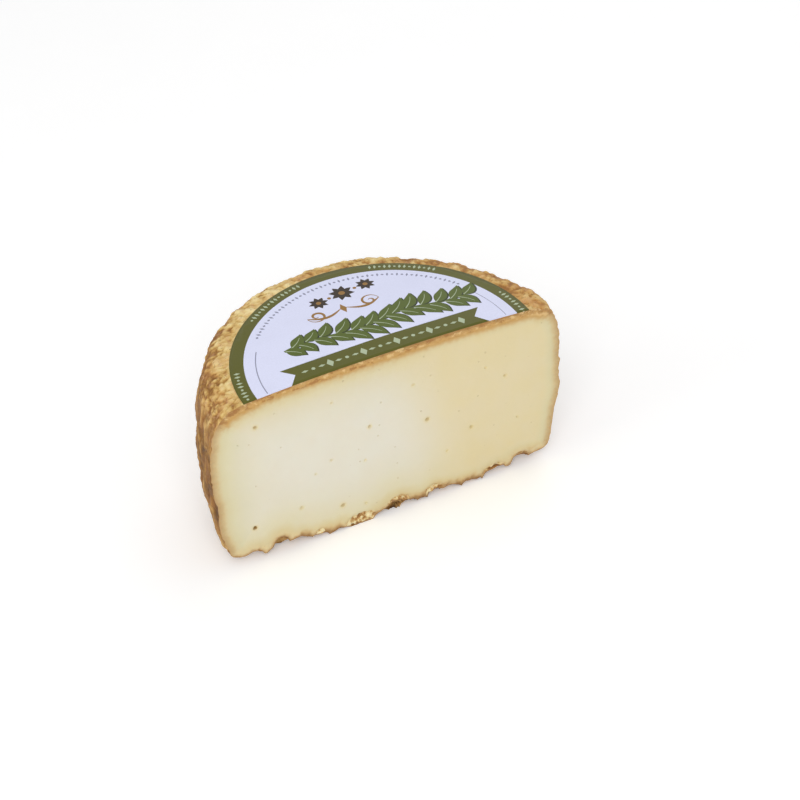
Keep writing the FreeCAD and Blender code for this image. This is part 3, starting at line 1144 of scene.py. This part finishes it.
def make_camera():
    """A camera without depth of field, at the picture's own angle."""
    data = bpy.data.cameras.new("camera")
    data.lens = CAMERA_LENS
    data.sensor_width = SENSOR
    data.clip_start = 0.01
    data.clip_end = 20
    camera = placed("camera", data)
    yaw = math.radians(CAMERA_YAW)
    down = math.radians(CAMERA_DOWN)
    forward = Vector((math.sin(yaw) * math.cos(down), math.cos(yaw) * math.cos(down), -math.sin(down)))
    level = Vector((math.cos(yaw), -math.sin(yaw), 0))
    upright = level.cross(forward)
    roll = math.radians(CAMERA_ROLL)
    right = level * math.cos(roll) + upright * math.sin(roll)
    up = upright * math.cos(roll) - level * math.sin(roll)
    turn = Matrix((right, up, -forward)).transposed()
    camera.matrix_world = Matrix.Translation(CAMERA_PLACE * MM) @ turn.to_4x4()
    bpy.context.scene.camera = camera


def soft_light(name, place, size, power):
    """A square soft box; place and size in metres."""
    data = bpy.data.lights.new(name, "AREA")
    data.shape = "SQUARE"
    data.size = size
    data.energy = power
    lamp = placed(name, data)
    lamp.location = place
    lamp.rotation_euler = (MIDDLE - Vector(place)).to_track_quat("-Z", "Y").to_euler()


def make_lights():
    """Soft studio light: a strong box high in front, and weak ones behind and on the left."""
    soft_light("key", (-0.55, -1.05, 1.2), 1.0, 10.8)
    soft_light("fill", (0.9, 0.8, 1.0), 1.0, 3.0)
    soft_light("side", (-1.4, 0.15, 0.5), 0.8, 3.5)


def make_world():
    """White to the camera and in reflections, and a soft even light on everything else."""
    world = bpy.data.worlds.new("room")
    world.use_nodes = True
    bpy.context.scene.world = world
    tree = world.node_tree
    background = tree.nodes["Background"]
    background.inputs["Color"].default_value = (1, 1, 1, 1)
    strength = tree.nodes.new("ShaderNodeMapRange")
    tree.links.new(seen_directly(tree), strength.inputs["Value"])
    strength.inputs["To Min"].default_value = ROOM_LIGHT
    tree.links.new(strength.outputs["Result"], background.inputs["Strength"])


def seen_directly(tree):
    """1 for what the camera or a reflection sees, and 0 for the light that falls on things."""
    paths = tree.nodes.new("ShaderNodeLightPath")
    seen = tree.nodes.new("ShaderNodeMath")
    seen.operation = "MAXIMUM"
    tree.links.new(paths.outputs["Is Camera Ray"], seen.inputs[0])
    tree.links.new(paths.outputs["Is Glossy Ray"], seen.inputs[1])
    return seen.outputs[0]


def make_floor():
    """A plain pale floor, level with the cheese's foot."""
    half = 3.0
    corners = [(-half, -half, 0), (half, -half, 0), (half, half, 0), (-half, half, 0)]
    mesh = bpy.data.meshes.new("floor")
    mesh.from_pydata(corners, [], [(0, 1, 2, 3)])
    floor = placed("floor", mesh)
    shader = Shader("floor", 0.9, 0.1)
    grain = shader.noise(40.0, 2.0)
    seen = seen_directly(shader.tree)
    glow = shader.node("ShaderNodeMapRange", {"Value": seen, "To Max": FLOOR_GLOW})
    surface = shader.surface.inputs
    surface["Emission Color"].default_value = (1, 1, 1, 1)
    shader.feed(surface["Emission Strength"], glow.outputs["Result"])
    mesh.materials.append(shader.finish(shader.mix(grain, (250, 250, 250), (252, 252, 252))))


# ---------------- putting it together

cheese = build_cheese()
cheese.data.materials.append(rind_material())
cheese.data.materials.append(paste_material())
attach(cheese, "root")
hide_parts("cheese")

label = build_label()
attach(label, "root")
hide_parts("label")

make_camera()
make_lights()
make_world()
make_floor()
bpy.context.scene.view_settings.view_transform = "Standard"
